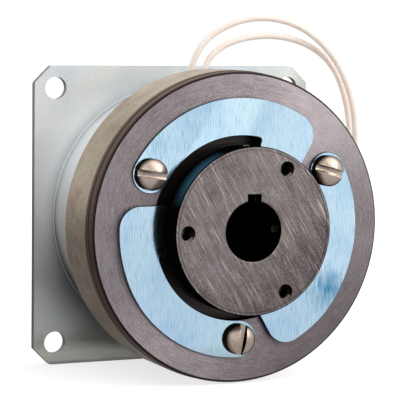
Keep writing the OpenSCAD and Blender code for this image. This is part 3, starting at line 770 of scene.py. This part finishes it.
def light_room():
    """White where the camera or a shiny surface looks, and a softer grey for the light on the object."""
    world = bpy.data.worlds.new("white_room")
    scene.world = world
    world.use_nodes = True
    tree = world.node_tree
    tree.nodes.clear()
    soft = add(tree, "ShaderNodeBackground", {"Color": colour("#FFFFFF"), "Strength": ROOM_LEVEL}).outputs[0]
    white = add(tree, "ShaderNodeBackground", {"Color": colour("#FFFFFF"), "Strength": 1.0}).outputs[0]
    room = add(tree, "ShaderNodeMixShader", {0: looked_at(tree), 1: soft, 2: white}).outputs[0]
    add(tree, "ShaderNodeOutputWorld", {"Surface": room})


def soft_box(name, place, size, level):
    """A square soft box that looks at the object and lights a white surface there to this share of white."""
    data = bpy.data.lights.new(name, "AREA")
    data.shape = "SQUARE"
    data.size = size
    place = Vector(place)
    data.energy = level * (math.pi * place.length) ** 2
    lamp = bpy.data.objects.new(name, data)
    turn = (-place).to_track_quat("-Z", "Y").to_matrix()
    lamp.matrix_world = Matrix.Translation(place) @ turn.to_4x4()
    scene.collection.objects.link(lamp)


def light_studio():
    """The white room and four soft boxes: the strongest over the right front, the weakest left and behind."""
    light_room()
    soft_box("key_box", (0.6, -0.7, 0.9), 1.1, 0.32)
    soft_box("right_box", (1.0, -0.97, 0.5), 0.7, 0.22)
    soft_box("left_box", (-0.9, -0.6, 0.7), 1.0, 0.15)
    soft_box("back_box", (-0.1, 0.7, 1.1), 1.2, 0.15)


# The two leads: the route's points are those of the part's source, the first one inside the grommet

LEAD_D = 2.1 * MM
LEAD_ROUTES = {
    1: [[-2.3, -21.7, 44.1], [-2.3, -21.7, 47.5], [-1.6, -21.8, 51], [0, -21.9, 54.8],
        [2.6, -22, 58.4], [6.4, -22.1, 61.5], [11.4, -22.3, 64.1], [17.2, -22.4, 65.9],
        [23.6, -22.5, 66.5], [30.4, -22.6, 65.8], [37, -22.7, 63.7], [42.8, -22.8, 60.3],
        [47.7, -22.9, 56], [51.9, -23, 50.8], [55, -23.1, 45], [57.1, -23.2, 38.8],
        [58.4, -23.3, 32.4], [58.8, -23.4, 26], [58.6, -23, 19.4], [58.1, -21.8, 12],
        [57.4, -19.4, 2.8], [56.9, -16, -6.6], [56.6, -11.6, -15.6], [56.3, -6, -24.2],
        [55.9, 0.8, -31.8], [55.2, 8.8, -38.4], [54, 17.8, -43.6], [52, 27.6, -47.2],
        [48.6, 37.4, -48.9], [42.8, 46.2, -48.9], [34.4, 52.6, -48.9], [24.2, 55.2, -48.9],
        [13.8, 53.4, -48.9], [4.8, 47.6, -48.9], [-1.2, 38.8, -48.9], [-3.6, 28.4, -48.9],
        [-3.3, 20, -48.9], [-2, 12.3, -48.9]],
    2: [[2.3, -21.7, 44.1], [2.3, -21.7, 47.3], [3.2, -21.6, 50.4], [5.2, -21.4, 53.6],
        [8.4, -21.2, 56.3], [12.6, -21, 58.3], [17.6, -20.8, 59.7], [23.4, -20.6, 60.5],
        [29.6, -20.3, 60.5], [35.8, -20.1, 59.5], [41.6, -19.9, 57.6], [47, -19.6, 54.6],
        [51.4, -19.4, 50.4], [54.6, -19.2, 45.2], [56.8, -19, 39.4], [58.3, -18.8, 33.2],
        [59, -18.5, 26.8], [59.2, -17.6, 20.2], [59.1, -15.8, 12.8], [58.9, -12.8, 3.8],
        [58.7, -8.6, -5.4], [58.6, -3.4, -14.2], [58.4, 3, -22.4], [58.1, 10.4, -30],
        [57.5, 19, -36.8], [56.2, 28.4, -42.4], [54, 38.4, -46.6], [50, 48.2, -48.9],
        [43.4, 56.6, -48.9], [34.2, 62.4, -48.9], [23.6, 64.6, -48.9], [12.8, 62.8, -48.9],
        [3.4, 57.2, -48.9], [-4, 49, -48.9], [-8.8, 39.2, -48.9], [-11, 28.4, -48.9],
        [-10.7, 15.8, -48.9]],
}


def lay_lead(number, material):
    """One insulated lead on its route; its stripped end stays as the CAD has it."""
    data = bpy.data.curves.new(f"lead_{number}", "CURVE")
    data.dimensions = "3D"
    data.bevel_depth = LEAD_D / 2
    data.bevel_resolution = 5
    data.resolution_u = 5
    data.use_fill_caps = True
    spline = data.splines.new("BEZIER")
    route = LEAD_ROUTES[number]
    spline.bezier_points.add(len(route) - 1)
    for point, at in zip(spline.bezier_points, route):
        point.co = Vector(at) * MM
        point.handle_left_type = "AUTO"
        point.handle_right_type = "AUTO"
    lead = bpy.data.objects.new(f"insulated_lead_{number}", data)
    scene.collection.objects.link(lead)
    data.materials.append(material)
    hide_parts(f"lead_wire_{number}")
    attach(lead, "field")


# Pieces whose cut edges are rounded a little, as the plating and the file leave them

# Points closer than the first are one, faces that meet at less than the second are one flat face, and those
# that meet at more than the third form a sharp edge
SAME_POINT = 0.001 * MM
SAME_FACE = math.radians(0.2)
SHARP_EDGE = math.radians(28)


def rounded(name, width):
    """A copy of a CAD piece with its sharp outer edges rounded to that width, which stands for it."""
    mesh = nodes[name].data.copy()
    worked = bmesh.new()
    worked.from_mesh(mesh)
    bmesh.ops.remove_doubles(worked, verts=worked.verts, dist=SAME_POINT)
    bmesh.ops.dissolve_limit(worked, angle_limit=SAME_FACE, verts=worked.verts, edges=worked.edges)
    for face in worked.faces:
        face.smooth = True
    weights = worked.edges.layers.float.new("bevel_weight_edge")
    for edge in worked.edges:
        sharp = edge.is_manifold and edge.calc_face_angle() > SHARP_EDGE
        edge.smooth = not sharp or edge.is_convex
        edge[weights] = float(sharp and edge.is_convex)
    worked.to_mesh(mesh)
    worked.free()
    cad_normals = mesh.attributes.get("custom_normal")
    if cad_normals:
        mesh.attributes.remove(cad_normals)
    piece = bpy.data.objects.new(f"rounded_{name}", mesh)
    scene.collection.objects.link(piece)
    bevel = piece.modifiers.new("rounded_edges", "BEVEL")
    bevel.width = width
    bevel.segments = 2
    bevel.limit_method = "WEIGHT"
    bevel.miter_outer = "MITER_ARC"
    shading = piece.modifiers.new("even_shading", "WEIGHTED_NORMAL")
    shading.keep_sharp = True
    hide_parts(name)
    return piece


def baked(piece):
    """The piece with its modifiers worked into its mesh."""
    bpy.context.view_layer.update()
    solid = bpy.data.meshes.new_from_object(piece.evaluated_get(bpy.context.evaluated_depsgraph_get()))
    piece.modifiers.clear()
    piece.data = solid
    return piece


def finished(piece, material, others=()):
    """Gives a piece its finish, and each other finish to the faces that its test picks."""
    mesh = piece.data
    mesh.materials.clear()
    mesh.materials.append(material)
    for index, (other, picked) in enumerate(others, start=1):
        mesh.materials.append(other)
        for face in mesh.polygons:
            if picked(face.center, face.normal):
                face.material_index = index


def around(angle, radius, deep=0.0):
    """The point at this angle and radius in the front view, so deep in front of the mounting face."""
    return Vector((radius * math.cos(math.radians(angle)), -deep, radius * math.sin(math.radians(angle))))


def is_wall(middle, normal):
    """Faces along the shaft or slanted, and not square to it."""
    return abs(normal.y) < 0.9


def is_upright(middle, normal):
    """Faces along the shaft only."""
    return abs(normal.y) < 0.3


def is_shaft_bore(middle, normal):
    """The walls of the shaft's bore and its keyway, without the bright cone at its mouth."""
    return is_upright(middle, normal) and math.hypot(middle.x, middle.z) < KEY_TOP


def is_hub_side(middle, normal):
    """The rim and the barrel of the hub, and not the wells over the rivets."""
    wells = [around(FIRST_LEAF + turn * 360 / LEAVES, RIVET_R) for turn in range(LEAVES)]
    out_of_wells = all(math.hypot(middle.x - well.x, middle.z - well.z) > PAST_WELL for well in wells)
    return is_wall(middle, normal) and math.hypot(middle.x, middle.z) > IN_BARREL_WALL and out_of_wells


def is_armature_bore(middle, normal):
    """The walls of the armature's bore and of its screw holes."""
    return is_wall(middle, normal) and math.hypot(middle.x, middle.z) < PAST_SCREW_HOLES


def fit_leaf(number, material, edge, corner):
    """A leaf spring between the hub's rim and the armature's screw, which keeps where its points lie at rest.
    """
    leaf = rounded(f"leaf_spring_{number}", 0.14 * MM)
    finished(leaf, material, [(edge, is_wall)])
    leaf.data.materials.append(corner)
    leaf.modifiers["rounded_edges"].material = len(leaf.data.materials) - 1
    baked(leaf)
    rest = leaf.data.attributes.new(REST, "FLOAT_VECTOR", "POINT")
    places = [value for vertex in leaf.data.vertices for value in vertex.co]
    rest.data.foreach_set("vector", places)
    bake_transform(leaf)


place_camera()
lay_floor()
stand_boards()
light_studio()

# Finishes that more than one piece or one test needs
nickel = nickel_plated_steel()
rivet_steel = plated_rivet_steel()
vinyl = extruded_vinyl()
bore_black = black_bore()
leaf_finishes = (blued_spring_steel(), sheared_spring_edge(), burnt_spring_corner())
armature_walls = [(browned_rim(), is_wall), (bore_black, is_armature_bore)]
hub_walls = [(oiled_black_steel(), is_hub_side), (bore_black, is_shaft_bore)]
head_walls = [(shaded_head_side(), is_upright)]

# Each piece that is rounded: its name, the width of its rounded edges, its finish, slot and body, and the
# finishes of its walls
rounded_pieces = [
    ("mounting_flange", 0.4 * MM, bright_zinc_sheet(), "zinc_sheet", "field", []),
    ("magnet_shell", 0.2 * MM, dichromate_steel(), "dichromate_steel", "field", []),
    ("armature_disc", 0.12 * MM, turned_armature_steel(), "armature_steel", "armature", armature_walls),
    ("hub", 0.15 * MM, turned_hub_steel(), "hub_steel", "rotor", hub_walls),
]
for number in range(1, LEAVES + 1):
    screw = f"armature_screw_{number}"
    rounded_pieces.append((screw, 0.15 * MM, nickel, "nickel_screw", "armature", head_walls))
for name, width, material, slot, body, walls in rounded_pieces:
    piece = rounded(name, width)
    finished(piece, material, walls)
    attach(piece, body)
for number in range(1, LEAVES + 1):
    fit_leaf(number, *leaf_finishes)
for number in LEAD_ROUTES:
    lay_lead(number, vinyl)

# Finishes of the pieces that stay as the CAD has them, by how their names start
plain_finishes = {
    "inner_pole": turned_pole_steel(),
    "coil_bobbin": moulded_nylon(),
    "coil_winding": enamelled_copper(),
    "coil_potting": poured_resin(),
    "friction_lining": pressed_lining(),
    "flange_rivet": rivet_steel,
    "spring_rivet": rivet_steel,
    "lead_grommet": moulded_rubber(),
    "coil_leads": vinyl,
    "lead_tip": tinned_copper(),
    "set_screw": blackened_steel(),
}
for name, node in nodes.items():
    for start, material in plain_finishes.items():
        if name.startswith(start) and not node.hide_render:
            for slot in node.material_slots:
                slot.material = material
